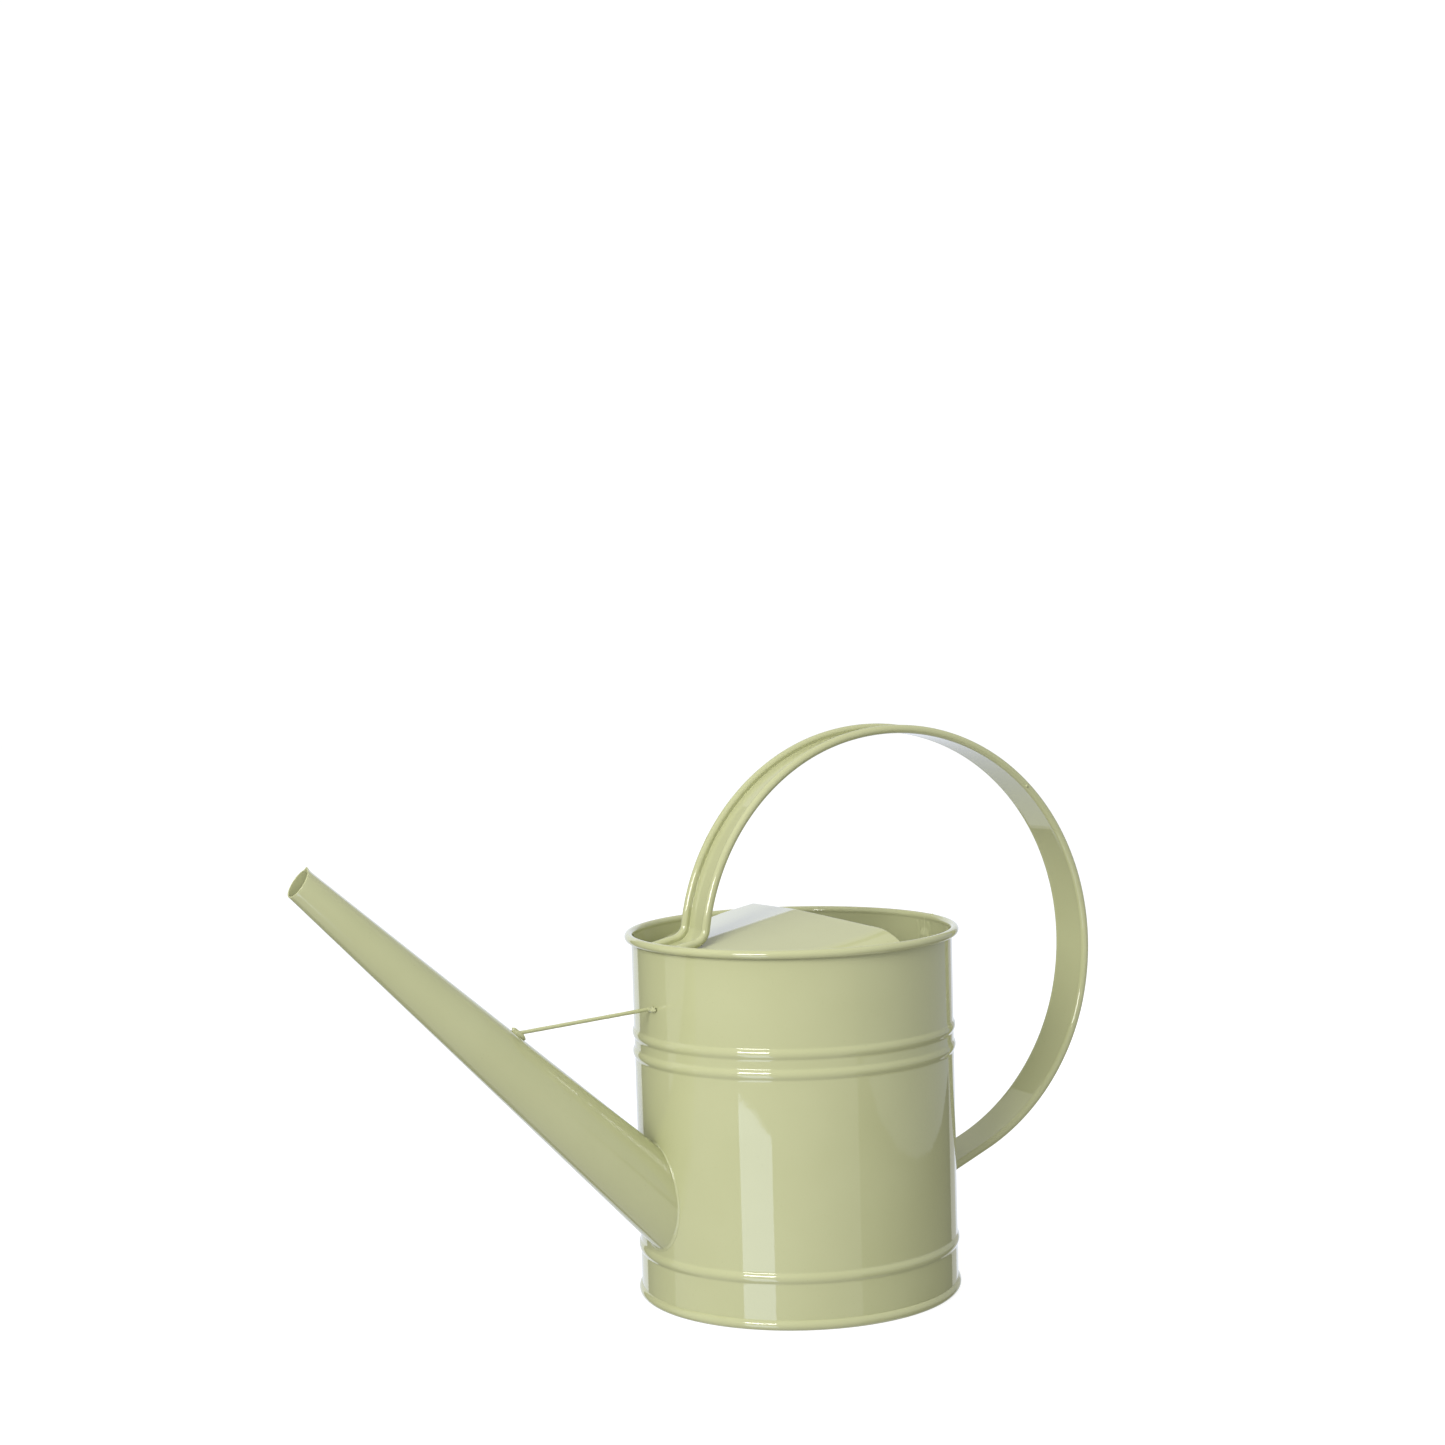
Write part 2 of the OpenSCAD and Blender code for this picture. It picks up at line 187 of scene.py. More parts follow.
def make_grid(name, points, wrap_u, wrap_v, material, nodes, capped=False):
    """Makes a piece from a grid of points, whose rows or columns may close on themselves."""
    nu, nv = points.shape[:2]
    faces = grid_faces(nu, nv, wrap_u, wrap_v)
    if capped:
        faces += end_caps(nu, nv)
    return make_object(name, points.reshape(-1, 3), faces, material, nodes)


def weld(obj):
    """Joins points that lie in one place, such as where a turned outline starts on the axis."""
    bm = bmesh.new()
    bm.from_mesh(obj.data)
    bmesh.ops.remove_doubles(bm, verts=bm.verts, dist=1e-6)
    bmesh.ops.recalc_face_normals(bm, faces=bm.faces)
    bm.to_mesh(obj.data)
    bm.free()
    obj.data.shade_smooth()


def round_points(middle, radius, angles):
    return [np.array(middle) + radius * unit2(a) for a in angles]


def smooth_loop(points, step, sigma, closed=True):
    """Resamples a drawn outline evenly and rounds its corners."""
    p = np.array(points, float)
    if closed:
        p = np.vstack([p, p[:1]])
    seg = np.linalg.norm(np.diff(p, axis=0), axis=1)
    s = np.concatenate([[0], np.cumsum(seg)])
    n = max(8, int(round(s[-1] / step)))
    t = np.linspace(0, s[-1], n + 1)
    q = np.column_stack([np.interp(t, s, p[:, k]) for k in range(p.shape[1])])
    w = max(1, int(round(3 * sigma / step)))
    kernel = np.exp(-0.5 * (np.arange(-w, w + 1) * step / sigma) ** 2)
    kernel /= kernel.sum()
    if closed:
        q = q[:-1]
        pad = np.vstack([q[-w:], q, q[:w]])
        return np.column_stack([np.convolve(pad[:, k], kernel, "valid") for k in range(q.shape[1])])
    first, last = q[0].copy(), q[-1].copy()
    pad = np.vstack([2 * q[0] - q[w:0:-1], q, 2 * q[-1] - q[-2 : -w - 2 : -1]])
    q = np.column_stack([np.convolve(pad[:, k], kernel, "valid") for k in range(q.shape[1])])
    q[0], q[-1] = first, last
    return q


OUTLINE_TOLERANCE = 0.004
GUARD = 0.25  # how far a guard point lies from the end of a straight


def thin_out(p, tolerance=OUTLINE_TOLERANCE, guard=GUARD):
    """Keeps the points an outline needs, with a guard point close to each end of every long straight."""
    p = np.array(p)
    keep = np.zeros(len(p), bool)
    keep[0] = keep[-1] = True
    stack = [(0, len(p) - 1)]
    while stack:
        a, b = stack.pop()
        if b - a < 2:
            continue
        d = p[b] - p[a]
        length = np.linalg.norm(d)
        q = p[a + 1 : b] - p[a]
        if length < 1e-9:
            dist = np.linalg.norm(q, axis=1)
        else:
            dist = np.abs(q[:, 0] * d[1] - q[:, 1] * d[0]) / length
        m = int(dist.argmax())
        if dist[m] > tolerance:
            keep[a + 1 + m] = True
            stack += [(a, a + 1 + m), (a + 1 + m, b)]
    q = p[keep]
    out = []
    for a, b in zip(q, np.roll(q, -1, axis=0)):
        out.append(a)
        length = np.linalg.norm(b - a)
        if length > 4 * guard:
            out.append(a + (b - a) * guard / length)
            out.append(b - (b - a) * guard / length)
    return np.array(out)


def thin_out_open(p):
    """The same for an outline that doesn't close: the closing straight's guard points are dropped."""
    q = thin_out(p)
    end = int(np.argmin(np.linalg.norm(q - p[-1], axis=1)))
    return q[: end + 1]


def lathe(profile, angles, shift=None):
    """Turns (r, z) points round the Z axis.

    shift, if it is given, gets the points' r, z and angle and says how far out each one moves."""
    a = np.radians(np.asarray(angles))[:, None]
    r, z = profile[:, 0][None, :], profile[:, 1][None, :]
    r = np.repeat(r, len(angles), 0)
    z = np.repeat(z, len(angles), 0)
    if shift is not None:
        r = r + shift(r, z, np.degrees(a))
    return np.stack([r * np.cos(a), r * np.sin(a), z], axis=2)


WAVE_COUNT = 7
WAVE_SPAN = 3.2  # what the sum of the waves is divided by


def waves(x, y, z, seed):
    """A repeatable bumpy field between about -1 and 1."""
    rng = np.random.default_rng(seed)
    total = 0.0
    for _ in range(WAVE_COUNT):
        k = rng.normal(size=3)
        k /= np.linalg.norm(k)
        total = total + np.sin((k[0] * x + k[1] * y + k[2] * z) * rng.uniform(0.6, 2.2) + rng.uniform(0, 6.3))
    return total / WAVE_SPAN


# ---------------------------------------------------------------- materials


def node_material(name):
    m = bpy.data.materials.new(name)
    m.use_nodes = True
    nt = m.node_tree
    nt.nodes.clear()
    out = nt.nodes.new("ShaderNodeOutputMaterial")
    bsdf = nt.nodes.new("ShaderNodeBsdfPrincipled")
    nt.links.new(bsdf.outputs[0], out.inputs[0])
    return m, nt, bsdf


def noise(nt, scale, detail, rough=0.5):
    """Object-space noise."""
    coord = nt.nodes.new("ShaderNodeTexCoord")
    n = nt.nodes.new("ShaderNodeTexNoise")
    n.inputs["Scale"].default_value = scale
    n.inputs["Detail"].default_value = detail
    n.inputs["Roughness"].default_value = rough
    nt.links.new(coord.outputs["Object"], n.inputs["Vector"])
    return n


def ramp(nt, source, stops):
    r = nt.nodes.new("ShaderNodeValToRGB")
    while len(r.color_ramp.elements) < len(stops):
        r.color_ramp.elements.new(0.5)
    for e, (pos, col) in zip(r.color_ramp.elements, stops):
        e.position = pos
        e.color = (*col, 1)
    nt.links.new(source, r.inputs["Fac"])
    return r


def bump(nt, height, strength, distance, under=None):
    """A bump on top of another one's normal, if one is given."""
    n = nt.nodes.new("ShaderNodeBump")
    n.inputs["Strength"].default_value = strength
    n.inputs["Distance"].default_value = distance
    nt.links.new(height, n.inputs["Height"])
    if under:
        nt.links.new(under, n.inputs["Normal"])
    return n.outputs["Normal"]


PAINT_TINT = (0.455, 0.468, 0.262)
PAINT_DEEP = (0.438, 0.450, 0.246)
SOLDER_TINT = (0.465, 0.478, 0.275)
DUST_SHADE = (0.72, 0.72, 0.66)  # a speck's colour as a share of the paint's
PAINT_ROUGH = 0.028
COAT_ROUGH = 0.015
PEEL = 0.02  # strength of the orange peel on flat sheet

# noise scales, in waves per metre
DRIFT_SCALE = 22.0
DUST_SCALE = 1500.0
CLOUD_SCALE = 60.0
PEEL_SCALE = 420.0
SLOW_SCALE = 38.0


def paint_material(name, tint=PAINT_TINT, orange_peel=PEEL):
    """Sprayed gloss enamel on sheet steel: faint colour drift, orange peel and small specks of dust."""
    m, nt, bsdf = node_material(name)
    drift = noise(nt, DRIFT_SCALE, 3.0)
    base = ramp(nt, drift.outputs["Fac"], [(0.30, PAINT_DEEP), (0.70, tint)])
    speck = noise(nt, DUST_SCALE, 1.0)
    speck_mask = ramp(nt, speck.outputs["Fac"], [(0.765, (0, 0, 0)), (0.80, (1, 1, 1))])
    mix = nt.nodes.new("ShaderNodeMix")
    mix.data_type = "RGBA"
    mix.inputs["B"].default_value = (*(t * share for t, share in zip(tint, DUST_SHADE)), 1)
    nt.links.new(base.outputs["Color"], mix.inputs["A"])
    nt.links.new(speck_mask.outputs["Color"], mix.inputs["Factor"])
    nt.links.new(mix.outputs["Result"], bsdf.inputs["Base Color"])

    # the gloss is a little cloudy
    cloud = noise(nt, CLOUD_SCALE, 4.0)
    gloss = nt.nodes.new("ShaderNodeMapRange")
    gloss.inputs["From Min"].default_value = 0.3
    gloss.inputs["From Max"].default_value = 0.7
    gloss.inputs["To Min"].default_value = PAINT_ROUGH * 0.8
    gloss.inputs["To Max"].default_value = PAINT_ROUGH * 1.3
    nt.links.new(cloud.outputs["Fac"], gloss.inputs["Value"])
    nt.links.new(gloss.outputs["Result"], bsdf.inputs["Roughness"])

    # the sheet is slightly uneven under the orange peel
    peel = noise(nt, PEEL_SCALE, 2.0)
    slow = noise(nt, SLOW_SCALE, 2.0)
    sheet_bump = bump(nt, slow.outputs["Fac"], 0.05, 0.0006)
    peel_bump = bump(nt, peel.outputs["Fac"], orange_peel, 0.0004, sheet_bump)
    nt.links.new(peel_bump, bsdf.inputs["Normal"])

    bsdf.inputs["IOR"].default_value = 1.5
    bsdf.inputs["Coat Weight"].default_value = 0.35
    bsdf.inputs["Coat Roughness"].default_value = COAT_ROUGH
    return m


PAINT = paint_material("sage_enamel")
PAINT_HANDLE = paint_material("sage_enamel_on_handle", orange_peel=0.003)
PAINT_DRIP = paint_material("sage_enamel_runs", orange_peel=0.08)
PAINT_SOLDER = paint_material("sage_enamel_on_solder", tint=SOLDER_TINT, orange_peel=0.12)

# ---------------------------------------------------------------- body wall

RIB_STEP = 0.05
RIB_REACH = 8
RIB_SPAN = np.arange(-RIB_REACH, RIB_REACH + RIB_STEP / 2, RIB_STEP)
RIB_BLEND = 0.32  # how far a rib's corners are rounded

WALL_STEP = 0.1
WALL_SOFT = 0.32  # how far the section's corners are rounded
BEAD_END_DROP = 1.3  # how far below the bead's middle its rolled end stops, inside


def rib_shape():
    """How far one rib stands out, its corners rolled into the wall."""
    q = RIB_CREST_R**2 - RIB_SPAN**2
    arc = np.maximum(np.sqrt(np.maximum(q, 0)) - RIB_BACK, 0)
    kernel = np.exp(-0.5 * (RIB_SPAN / RIB_BLEND) ** 2)
    soft = np.convolve(arc, kernel / kernel.sum(), "same")
    return soft * RIB_RISE / soft.max()


RIB_SHAPE = rib_shape()


def rib_bump(z):
    return sum(np.interp(np.asarray(z) - rz, RIB_SPAN, RIB_SHAPE, left=0, right=0) for rz in RIB_Z)


def wall_profile():
    """The wall's closed section: up the outside, round the rim's bead and down the inside."""
    join_z = RIM_Z - math.sqrt(RIM_BEAD_R**2 - BEAD_OUT**2)
    z = np.arange(WALL_BOTTOM, join_z, WALL_STEP)
    outer = np.column_stack([wall_r(z) + rib_bump(z), z])
    bead = round_points((RIM_R, RIM_Z), RIM_BEAD_R, range(-124, 208, 3))
    z = np.arange(RIM_Z - BEAD_END_DROP, WALL_BOTTOM, -WALL_STEP)
    inner = np.column_stack([wall_r(z) - SHEET + rib_bump(z), z])
    loop = smooth_loop(np.vstack([outer, bead, inner]), WALL_STEP, WALL_SOFT)
    return thin_out(loop)


# The lock seam runs up the inside at the back, over +X. Its widths across are in degrees.
SEAM_HALF = 2.5
SEAM_RISE = 1.05
SEAM_SIDE = 0.10
SEAM_LOW_Z, SEAM_HIGH_Z, SEAM_END = 12.4, 192.4, 0.3

# The sheet's inner face starts between these depths under its outer one.
INNER_FROM, INNER_SPAN = 0.25, 0.2

# Paint has run down beside the seam, from the rim to about 120 mm up.
RUNS_AT, RUNS_SPREAD = 4.2, 1.8
RUNS_LOW_Z, RUNS_FADE = 120, 60
RUNS_RISE = 0.42


def seam_shift(r, z, angle):
    """How the lock seam and the runs of paint beside it move the wall's inner face."""
    depth = wall_r(z) + rib_bump(z) - r
    inside = np.clip((depth - INNER_FROM) / INNER_SPAN, 0, 1) * (z < RIM_Z - 2)
    a = centred(angle)
    across = fade_in(SEAM_HALF - np.abs(a), SEAM_SIDE)
    along = fade_in(z - SEAM_LOW_Z, SEAM_END) * fade_in(SEAM_HIGH_Z - z, SEAM_END)
    runs = waves(a * 2.6, z * 0.10, 0 * z, 4) * 0.5 + waves(a * 1.2, z * 0.6, 0 * z, 9) * 0.35
    band = np.exp(-((np.abs(a) - RUNS_AT) / RUNS_SPREAD) ** 2) * np.clip((z - RUNS_LOW_Z) / RUNS_FADE, 0, 1)
    return -inside * (SEAM_RISE * across * along + np.clip(runs, -0.2, 1.0) * band * RUNS_RISE)


# every degree, and closer over the seam
BODY_ANGLES = np.unique(np.concatenate([np.arange(-180, 180, 1.0), np.arange(-9, 9.01, 0.2)]))
ROW_STEP = 1.6
LONG_RUN = 3  # a straight run of the section that is longer than this gets rows
LOWEST_RUN_Z = 2


def with_rows(profile):
    """Adds rows to the long runs: the inside needs them for the paint, the outside for the spout's hole."""
    rows = []
    for a, b in zip(profile, np.roll(profile, -1, axis=0)):
        rows.append(a)
        if abs(b[1] - a[1]) > LONG_RUN and min(a[1], b[1]) > LOWEST_RUN_Z:
            n = int(abs(b[1] - a[1]) / ROW_STEP)
            rows += [a + (b - a) * k / n for k in range(1, n)]
    return np.array(rows)


def along_spout(p):
    """Spout coordinates (x across, y across, z along) to the can's."""
    p = np.asarray(p, float)
    c, s = math.cos(SPOUT_CLIMB), math.sin(SPOUT_CLIMB)
    x, y, z = p[..., 0], p[..., 1], p[..., 2]
    return np.stack([x * s - z * c - wall_r(SPOUT_Z), y, x * c + z * s + SPOUT_Z], axis=-1)


HOLE_GAP = 0.4  # between the hole's edge and the spout's inner face
HOLE_FROM, HOLE_TO = -26, 34  # the cutter's ends, along the spout from the wall


def hole_cutter():
    """A plug as wide as the spout's bore."""
    a = np.radians(np.arange(0, 360, 3))
    r = SPOUT_BASE_R - SHEET - HOLE_GAP
    ends = [np.column_stack([r * np.cos(a), r * np.sin(a), np.full(len(a), z)]) for z in (HOLE_FROM, HOLE_TO)]
    verts = along_spout(np.vstack(ends))
    faces = grid_faces(2, len(a), False, True) + end_caps(2, len(a))
    mesh = bpy.data.meshes.new("spout_hole_cutter")
    mesh.from_pydata([tuple(v * MM) for v in verts], [], faces)
    cutter = bpy.data.objects.new("spout_hole_cutter", mesh)
    bpy.context.scene.collection.objects.link(cutter)
    return cutter


def cut_spout_hole(obj):
    cutter = hole_cutter()
    mod = obj.modifiers.new("hole", "BOOLEAN")
    mod.operation = "DIFFERENCE"
    mod.solver = "EXACT"
    mod.object = cutter
    bpy.context.view_layer.update()
    dg = bpy.context.evaluated_depsgraph_get()
    cut = bpy.data.meshes.new_from_object(obj.evaluated_get(dg))
    obj.modifiers.clear()
    spare = [obj.data, cutter.data]
    obj.data = cut
    bpy.data.objects.remove(cutter)
    for mesh in spare:
        bpy.data.meshes.remove(mesh)


def build_wall():
    points = lathe(with_rows(wall_profile()), BODY_ANGLES, seam_shift)
    obj = make_grid("body_wall_visual", points, True, True, PAINT, ["body_wall", "rim_wire"])
    cut_spout_hole(obj)


build_wall()

# ---------------------------------------------------------------- base

PAN_END_R = FOOT_RING_MID_R - 1.5
PAN_BEND = 3.0
BASE_ANGLES = np.arange(0, 360, 1.5)
BASE_SOLDER_W, BASE_SOLDER_H, BASE_SOLDER_SINK = 4.5, 2.0, 0.3


def build_base_pan():
    """The pan and the foot ring, turned from one open outline that starts and ends on the axis."""
    ring = np.array(round_points((FOOT_RING_MID_R, FOOT_RING_Z), FOOT_RING_R, range(-150, 140, 4)))
    ring[:, 1] = np.maximum(0.0, ring[:, 1])
    top = PAN_Z + SHEET
    outline = [[0.0, PAN_Z], [PAN_END_R - PAN_BEND, PAN_Z], *ring, [PAN_END_R - PAN_BEND, top], [0.0, top]]
    p = smooth_loop(outline, 0.15, 0.18, closed=False)
    p[:, 1] = np.maximum(p[:, 1], 0.0)
    obj = make_grid("base_pan_visual", lathe(thin_out_open(p), BASE_ANGLES), True, False, PAINT, ["base_pan"])
    weld(obj)


def build_base_solder():
    """The hollow-faced run of solder between the pan and the wall, inside."""
    wall = WALL_FOOT_R - SHEET
    floor = FOOT_RING_Z + FOOT_RING_R
    section = [[wall - 0.1 - BASE_SOLDER_W, floor - BASE_SOLDER_SINK], [wall - 0.1, floor - BASE_SOLDER_SINK],
               [wall - 0.05, floor + BASE_SOLDER_H]]
    for share in np.arange(10, 90, 10) / 90:
        section.append([wall - 0.05 - BASE_SOLDER_W * share**1.6, floor + BASE_SOLDER_H * (1 - share) ** 2.2])
    make_grid("base_solder_visual", lathe(np.array(section), BASE_ANGLES), True, True, PAINT_SOLDER,
              ["base_solder"])


build_base_pan()
build_base_solder()

# ---------------------------------------------------------------- half cover

COVER_GAP = 0.04
COVER_WALL_DROP = 8  # about how far below the rim the cover meets the wall
INNER_R = wall_r(RIM_Z - COVER_WALL_DROP) - SHEET - COVER_GAP
SIDE_Y = math.sqrt(INNER_R**2 - COVER_SIDE_X**2)
CREASE_SOFT = 0.5
COVER_FILLET = 1.1  # radius of the paint and solder where the cover meets the wall
FILLET_SHARE = 0.8
COVER_ROWS, COVER_HALF_COLUMNS = 150, 70
REAR_EDGE_OUT = 0.9


def cover_z(x, y):
    """Height of the cover's top: two panels creased along the middle, with shoulders falling to the wall."""
    soft_y = np.sqrt(y**2 + CREASE_SOFT**2) - CREASE_SOFT
    gap = np.maximum(0, INNER_R - np.hypot(x, y))
    t = np.maximum(0, 1 - gap / SHOULDER_W)
    in_fillet = COVER_FILLET - np.sqrt(np.maximum(0, COVER_FILLET**2 - (COVER_FILLET - gap) ** 2))
    up = np.where(gap < COVER_FILLET, in_fillet, 0)
    return (RIDGE_REAR[1] + (x - RIDGE_REAR[0]) * math.tan(RIDGE_TILT) - soft_y * math.tan(PANEL_FALL)
            - SHOULDER_DROP * t * t + FILLET_SHARE * up)


def build_cover():
    """Rows run from side to side, each ruled from the ridge out to the wall on both sides.

    v crowds the points towards the wall, where the shoulders fall, and u stops just short of the front."""
    t = np.linspace(-1, 1, 2 * COVER_HALF_COLUMNS + 1)
    v = np.sign(t) * (1 - (1 - np.abs(t)) ** 1.6)
    u = 0.004 + 0.996 * np.linspace(0, 1, COVER_ROWS + 1)
    side = math.atan2(SIDE_Y, COVER_SIDE_X)
    turn = math.pi - (math.pi - side) * u
    wall_x, wall_y = INNER_R * np.cos(turn), INNER_R * np.sin(turn)
    ridge_x = -INNER_R + (RIDGE_REAR[0] + INNER_R) * u
    x = ridge_x[:, None] + (wall_x - ridge_x)[:, None] * np.abs(v)[None, :]
    y = wall_y[:, None] * v[None, :]
    top = np.stack([x, y, cover_z(x, y)], 2)
    under = top - np.array([0, 0, SHEET])
    # the rear edge is rounded
    r = SHEET * 0.5
    rolled = []
    for a in np.linspace(20, 180, 8):
        out, down = math.sin(rad(a)) * r * REAR_EDGE_OUT, -r + r * math.cos(rad(a))
        rolled.append(top[-1] + np.array([out, 0, down]))
    points = np.concatenate([top, np.array(rolled), under[::-1][1:]], 0)
    make_grid("top_cover_visual", points, False, False, PAINT, ["top_cover"])


build_cover()

# ---------------------------------------------------------------- spout

LAP_EDGE, LAP_EDGE_SOFT = 9.0, 0.35  # degrees from the top, where the lap steps down
LAP_FADE_FROM, LAP_FADE_SPAN = 10, 17
CURL_AT, CURL_SPREAD = 3, 11.0  # degrees from the top, where the tip's edge curls up at the lap
CURL_RISE, CURL_REACH, CURL_FADE = 0.75, 0.55, 1.6
SPOUT_RINGS = 110
SINK_OUTSIDE, SINK_INSIDE = 0.3, 1.5  # how far the root's edges reach into the wall


def spout_r(t):
    return SPOUT_BASE_R + (SPOUT_TIP_R - SPOUT_BASE_R) * t / SPOUT_LEN


def cone_point(t, phi, extra):
    r = spout_r(t) + extra
    return along_spout(np.stack([r * np.cos(phi), r * np.sin(phi), t + 0 * phi], -1))


def root_t(phi, extra, sink):
    """Where a generator of the spout's cone meets the wall, sunk into it by a little."""
    lo, hi = np.full_like(phi, -45.0), np.full_like(phi, 60.0)
    for _ in range(40):
        mid = (lo + hi) / 2
        p = cone_point(mid, phi, extra)
        inside = np.hypot(p[..., 0], p[..., 1]) < wall_r(p[..., 2]) - sink
        lo, hi = np.where(inside, mid, lo), np.where(inside, hi, mid)
    return (lo + hi) / 2


def lap_profile(phi):
    """The lapped seam on top: a step down on one side and a long fade on the other."""
    a = centred(np.degrees(phi))
    step = fade_in(LAP_EDGE - a, LAP_EDGE_SOFT)
    fade = np.clip((a + LAP_FADE_FROM) / LAP_FADE_SPAN, 0, 1)
    return LAP_RISE * step * fade * fade * (3 - 2 * fade)


def build_spout():
    """Out along the cone, round the tip's edge and back down the bore."""
    phi = np.radians(np.unique(np.concatenate([np.arange(-180, 180, 2.0), np.arange(-12, 14, 0.5)])))
    lap = lap_profile(phi)
    curl = np.exp(-((centred(np.degrees(phi)) - CURL_AT) / CURL_SPREAD) ** 2)
    tip = SPOUT_LEN + np.tan(TIP_TURN) * SPOUT_TIP_R * np.cos(phi) + CURL_REACH * curl
    r = SHEET / 2

    def skin(root, extra, shares):
        rings = []
        for k in shares:
            t = root + (tip - r - root) * k
            near_tip = np.exp(-((tip - t) / CURL_FADE) ** 2)
            rings.append(cone_point(t, phi, extra + CURL_RISE * curl * near_tip))
        return rings

    shares = np.linspace(0, 1, SPOUT_RINGS)
    rings = skin(root_t(phi, 0.0, SINK_OUTSIDE), lap, shares)
    for e in np.linspace(15, 165, 9):
        t = tip - r + r * math.sin(rad(e))
        rings.append(cone_point(t, phi, lap - r + r * math.cos(rad(e)) + CURL_RISE * curl))
    rings += skin(root_t(phi, -SHEET, SINK_INSIDE), lap - SHEET, shares[::-1][::2])
    make_grid("spout_visual", np.array(rings), False, True, PAINT, ["spout_tube"])


def unit_rows(v):
    return v / np.linalg.norm(v, axis=1)[:, None]


def build_spout_solder():
    """An uneven hollow-faced run of solder where the cone meets the wall."""
    phi = np.radians(np.arange(-180, 180, 1.5))
    t0 = root_t(phi, 0.0, 0.0)
    joint = cone_point(t0, phi, 0.0)
    middle = joint.mean(0)
    up_cone = unit_rows(cone_point(t0 + 1.0, phi, 0.0) - joint)
    tangent = unit_rows(np.roll(joint, -1, 0) - np.roll(joint, 1, 0))
    normal = unit_rows(np.column_stack([joint[:, 0], joint[:, 1], 0 * joint[:, 2]]))
    on_wall = np.cross(normal, tangent)
    on_wall *= np.sign(((joint - middle) * on_wall).sum(1))[:, None]
    turn = np.arctan2(joint[:, 2] - middle[2], joint[:, 1])
    size = 1.0 + 0.14 * np.sin(5 * turn + 1) + 0.09 * np.sin(11 * turn + 2) + 0.06 * np.sin(23 * turn)
    size = size[:, None]
    start, end = joint + up_cone * size, joint + on_wall * size
    pull = joint + 0.08 * size * (up_cone + on_wall)
    rings = []
    for s in np.linspace(0, 1, 9):
        rings.append((1 - s) ** 2 * start + 2 * s * (1 - s) * pull + s * s * end + normal * 0.06)
    rings.append(joint + on_wall * size * 0.6 - normal * 0.3)
    rings.append(joint + up_cone * size * 0.3 - normal * 0.6)
    make_grid("spout_solder_visual", np.array(rings), True, True, PAINT_SOLDER,
              ["spout_solder"])


build_spout()
build_spout_solder()

# ---------------------------------------------------------------- brace


def spout_top_z(x):
    """Height of the spout's top line, under the lap, at a distance x in front of the can's middle."""
    c, s = math.cos(SPOUT_CLIMB), math.sin(SPOUT_CLIMB)
    t = (x - wall_r(SPOUT_Z) + SPOUT_BASE_R * s) / (c + math.tan(TOP_FALL) * s)
    return SPOUT_Z + t * s + spout_r(t) * c


def tube_rings(path, radii, sides):
    """Rings of a round tube along a path that is never upright."""
    along = unit_rows(np.gradient(path, axis=0))
    a = np.linspace(0, 2 * math.pi, sides, endpoint=False)
    rings = []
    for p, t, r in zip(path, along, radii):
        side = np.cross(t, [0.0, 0.0, 1.0])
        side /= np.linalg.norm(side)
        up = np.cross(side, t)
        rings.append(p + r * (np.cos(a)[:, None] * side + np.sin(a)[:, None] * up))
    return np.array(rings)


def drop(centre, axes, sizes, seed, rough, spikes=()):
    """A lump of solder or paint: a ball stretched along three axes, made uneven.

    Each spike is a direction, a height and a width."""
    bm = bmesh.new()
    bmesh.ops.create_icosphere(bm, subdivisions=5, radius=1.0)
    v = np.array([x.co for x in bm.verts])
    faces = [[x.index for x in f.verts] for f in bm.faces]
    bm.free()
    h = 1 + rough * waves(v[:, 0] * 2.2, v[:, 1] * 2.2, v[:, 2] * 2.2, seed)
    for d, height, width in spikes:
        d = np.array(d, float) / np.linalg.norm(d)
        h = h + height * np.exp(-((1 - v @ d) / width))
    v = v * h[:, None]
    return np.array(centre) + (v * np.array(sizes)) @ np.array(axes, float), faces


def brace_radii(n):
    """The wire's radius along its path: slightly uneven paint, and a rounded end at each toe."""
    s = np.linspace(0, 1, n)
    r = BRACE_R * (1 + 0.02 * np.sin(s * 40) + 0.015 * np.sin(s * 97 + 1))
    rounded = 6
    end = np.maximum(np.sqrt(1 - (1 - np.arange(rounded) / rounded) ** 2), 0.15)
    r[:rounded] *= end
    r[-rounded:] *= end[::-1]
    return r


